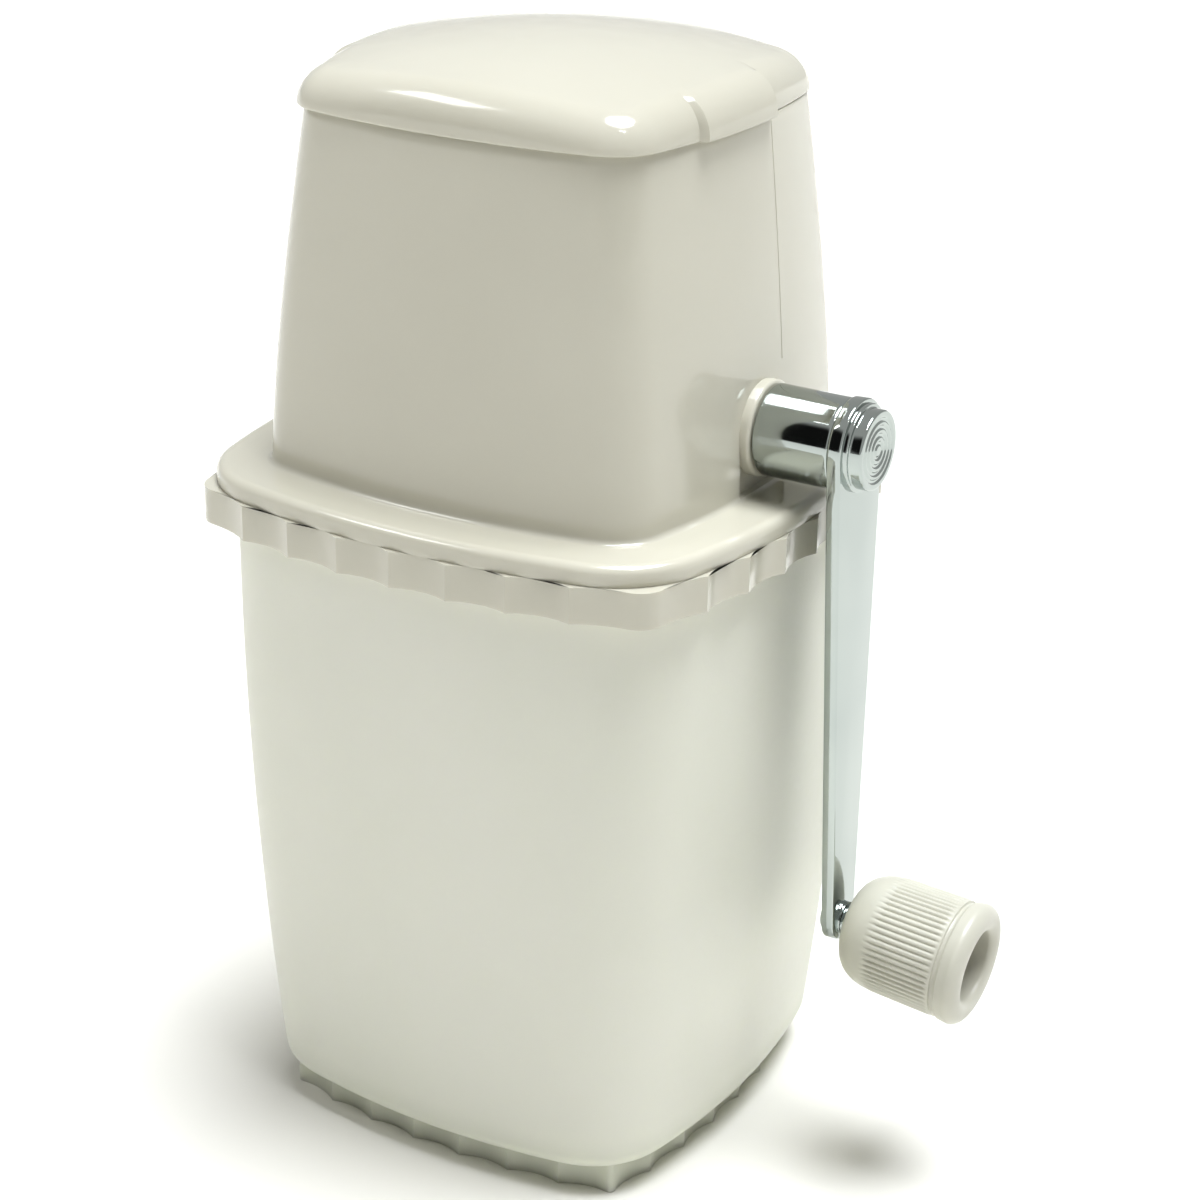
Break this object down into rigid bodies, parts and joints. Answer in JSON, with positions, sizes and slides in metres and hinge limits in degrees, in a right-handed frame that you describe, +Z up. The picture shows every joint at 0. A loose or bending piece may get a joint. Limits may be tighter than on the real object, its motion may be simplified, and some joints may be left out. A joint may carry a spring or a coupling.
{
  "type": "manual ice crusher",
  "caption": "Hand-cranked ice crusher: square lidded hopper on a scalloped collar over a frosted container, with a side crank that turns claw blades between fixed combs.",
  "frame": {"origin": "middle of the container's foot, on the surface it stands on", "axes": "+Z up, -Y the front of the hopper, +X the crank side, along the crank's axis"},
  "size_m": [0.1731, 0.13, 0.2482],
  "materials": {
    "housing_plastic": "glossy warm white moulded ABS",
    "frosted_plastic": "frosted translucent polypropylene",
    "knob_plastic": "satin off-white moulded plastic",
    "bush_nylon": "natural nylon",
    "chrome": "bright chrome plate",
    "blade_steel": "stainless steel, fine grind",
    "fastener_steel": "plated steel"
  },
  "bodies": {
    "container": {"container": "frosted_plastic"},
    "upper_unit": {"hopper_housing": "housing_plastic", "lid_hinge_pin": "fastener_steel", "front_comb": "blade_steel", "rear_comb": "blade_steel", "comb_screws": "fastener_steel", "crank_side_bush": "bush_nylon", "far_side_bush": "bush_nylon"},
    "lid": {"lid": "housing_plastic"},
    "rotor": {"rotor_shaft": "blade_steel", "claw_blade_1": "blade_steel", "claw_blade_2": "blade_steel", "claw_blade_3": "blade_steel", "claw_blade_4": "blade_steel", "claw_blade_5": "blade_steel", "claw_blade_6": "blade_steel", "blade_spacers": "blade_steel", "end_spacers": "blade_steel", "end_washer": "fastener_steel", "end_screw": "fastener_steel", "crank_hub": "chrome", "crank_arm": "chrome", "cap_nut": "chrome", "knob_pin": "chrome", "knob_washer": "fastener_steel", "knob_screw": "fastener_steel"},
    "knob": {"knob": "knob_plastic"}
  },
  "joints": [
    {"name": "upper_lift", "type": "slide", "parent": "container", "child": "upper_unit", "axis": [0, 0, 1], "range_m": [0, 0.06]},
    {"name": "lid_hinge", "type": "hinge", "parent": "upper_unit", "child": "lid", "pos_m": [0, 0.0492, 0.2308], "axis": [-1, 0, 0], "range_deg": [0, 100]},
    {"name": "crank_turn", "type": "hinge", "parent": "upper_unit", "child": "rotor", "pos_m": [0, 0, 0.1704], "axis": [1, 0, 0], "continuous": true},
    {"name": "knob_spin", "type": "hinge", "parent": "rotor", "child": "knob", "pos_m": [0.09005, 0.00501, 0.05563], "axis": [0.9968, 0.0035, -0.0801], "continuous": true}
  ]
}
